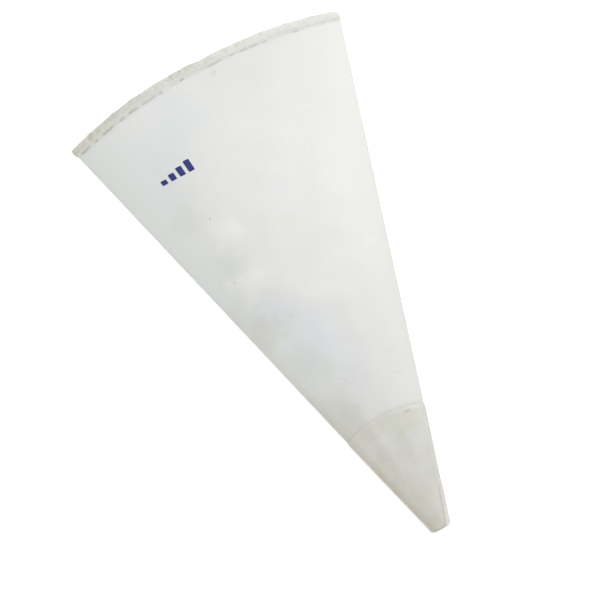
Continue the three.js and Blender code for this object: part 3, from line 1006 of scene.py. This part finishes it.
def bar_points(number):
    """The outer face of one bar, column by column, its corners slightly rounded."""
    start = MARK_LEFT + (MARK_RIGHT - MARK_LEFT) * (number + 0.14) / BAR_COUNT
    stop = MARK_LEFT + (MARK_RIGHT - MARK_LEFT) * (number + 0.78) / BAR_COUNT
    height = MARK_TALLEST * (0.4 + 0.6 * number / (BAR_COUNT - 1))
    points = []
    for column in range(BAR_COLUMNS):
        sideways = column / (BAR_COLUMNS - 1)
        place = np.array([(2, (1 - (start + (stop - start) * sideways)) / 2)])
        corner = 0.25 * MM * (2 * sideways - 1) ** 4
        for row in range(BAR_ROWS):
            trim = corner * ((row == 0) - (row == BAR_ROWS - 1))
            distance = MARK_LOW + height * row / (BAR_ROWS - 1) + trim
            points.append(on_line(level_line(distance), place, INK_OFFSET)[0])
    return np.array(points)


def bar_faces(first):
    """Faces of one bar whose points start at a number: both sides and the rim between them."""
    top = first + np.arange(BAR_COLUMNS * BAR_ROWS).reshape(BAR_COLUMNS, BAR_ROWS)
    under = top.size
    corners = (top[:-1, :-1], top[1:, :-1], top[1:, 1:], top[:-1, 1:])
    squares = np.stack(corners, -1).reshape(-1, 4)
    rim = np.concatenate([top[:-1, 0], top[-1, :-1], top[:0:-1, -1], top[0, :0:-1]])
    beside = np.roll(rim, -1)
    sides = np.stack([rim, rim + under, beside + under, beside], 1)
    return np.concatenate([squares, squares[:, ::-1] + under, sides]).tolist()


def size_mark():
    """Four printed bars of rising height: a plain size mark in place of a printed one."""
    points, faces = [], []
    for number in range(BAR_COUNT):
        faces += bar_faces(number * 2 * BAR_COLUMNS * BAR_ROWS)
        top = bar_points(number)
        points += [top, top - [0, 0, INK_THICKNESS]]
    return new_object("size_bars", np.concatenate(points), faces, blue_ink, "ink", ["size_mark"])


# The inside strips' offsets are of their sides towards the cloth and towards the inside.
TURNING_OFFSETS = (-CLOTH - 0.05 * MM, -CLOTH - 0.95 * MM)
TAPE_OFFSETS = (-CLOTH - 1.0 * MM, -CLOTH - 1.25 * MM)
SEAM_TURNING = (6 * MM, *TURNING_OFFSETS, body_cotton, "coated_cotton", "seam_allowance")
SEAM_TAPE = (8 * MM, *TAPE_OFFSETS, tape_film, "seam_tape", "seam_tape")

panel = body_panel()
sleeve = tip_sleeve()
hem = turned_hem()
lower_lock, lock_hole = -CLOTH - 0.26 * MM, -CLOTH + 0.05 * MM
panel_extras = [
    hem,
    mouth_stitches("hem_stitches", 0.62 * MM, 0.1 * MM, "hem_needle_thread"),
    mouth_stitches("hem_lock_stitches", lower_lock, lock_hole, "hem_bobbin_thread"),
    back_strip("seam_turning", *SEAM_TURNING),
    back_strip("seam_cover_tape", *SEAM_TAPE),
    seam_strand(),
    size_mark(),
]
lap = tip_lap()


# ---------------------------------------------------------------- floor, light and camera
TABLE_RADIUS, WALL_BEND, WALL_HEIGHT = 2.4, 1.2, 1.25


def make_floor():
    """A round pale table that curves up into a wall, and glows more far from the bag, so that
    no horizon shows in low views."""
    material, tree, shader = new_material("pale_floor")
    shader.inputs["Base Color"].default_value = (0.93, 0.93, 0.93, 1)
    shader.inputs["Roughness"].default_value = 0.9
    shader.inputs["Specular IOR Level"].default_value = 0.1
    shader.inputs["Emission Color"].default_value = (1, 1, 1, 1)
    place = add(tree, "ShaderNodeTexCoord").outputs["Object"]
    glow = ramp(tree, away_from(tree, place, (0, 0, 0)), 0.5, 1.8, 0.5, 0.78)
    tree.links.new(glow, shader.inputs["Emission Strength"])
    sides, bends = 64, 14
    bend = np.linspace(0, math.pi / 2, bends + 1)
    radii = np.append(TABLE_RADIUS + WALL_BEND * np.sin(bend), TABLE_RADIUS + WALL_BEND)
    heights = np.append(WALL_BEND * (1 - np.cos(bend)), WALL_HEIGHT)
    turns = np.arange(sides) * 2 * math.pi / sides
    points = [(0.0, 0.0, 0.0)]
    for radius, height in zip(radii, heights):
        points += [(radius * math.cos(turn), radius * math.sin(turn), height) for turn in turns]
    faces = [(0, 1 + side, 1 + (side + 1) % sides) for side in range(sides)]
    for first in range(1, 1 + (len(radii) - 1) * sides, sides):
        for side in range(sides):
            beside = (side + 1) % sides
            here = (first + side, first + beside)
            faces.append((*here, first + beside + sides, first + side + sides))
    mesh = bpy.data.meshes.new("floor")
    mesh.from_pydata(points, [], faces)
    mesh.materials.append(material)
    mesh.polygons.foreach_set("use_smooth", [True] * len(mesh.polygons))
    floor = bpy.data.objects.new("floor", mesh)
    bpy.context.scene.collection.objects.link(floor)


def area_light(name, place, size, power):
    data = bpy.data.lights.new(name, "AREA")
    data.shape = "SQUARE"
    data.size = size
    data.energy = power
    light = bpy.data.objects.new(name, data)
    light.location = place
    direction = -light.location
    light.rotation_euler = direction.to_track_quat("-Z", "Y").to_euler()
    bpy.context.scene.collection.objects.link(light)


def make_lights():
    area_light("key", (0.55, 0.30, 1.10), 0.8, 11.6)
    world = bpy.data.worlds.new("studio")
    world.use_nodes = True
    background = world.node_tree.nodes["Background"]
    background.inputs["Color"].default_value = (1, 1, 1, 1)
    background.inputs["Strength"].default_value = 0.28
    bpy.context.scene.world = world


def make_camera():
    """Straight down on the bag, turned so that the tip points to the lower right."""
    turn = math.radians(27.79)
    view_width = 380.6 * MM
    plane = 2.5 * MM
    data = bpy.data.cameras.new("camera")
    data.sensor_width = 36
    data.lens = 85
    distance = view_width * data.lens / data.sensor_width
    camera = bpy.data.objects.new("camera", data)
    camera.location = (-13.3 * MM, APEX_Y + 201.3 * MM, plane + distance)
    camera.rotation_euler = (0, 0, -turn)
    bpy.context.scene.collection.objects.link(camera)
    bpy.context.scene.camera = camera


make_camera()
make_floor()
make_lights()
bpy.context.scene.view_settings.view_transform = "Standard"
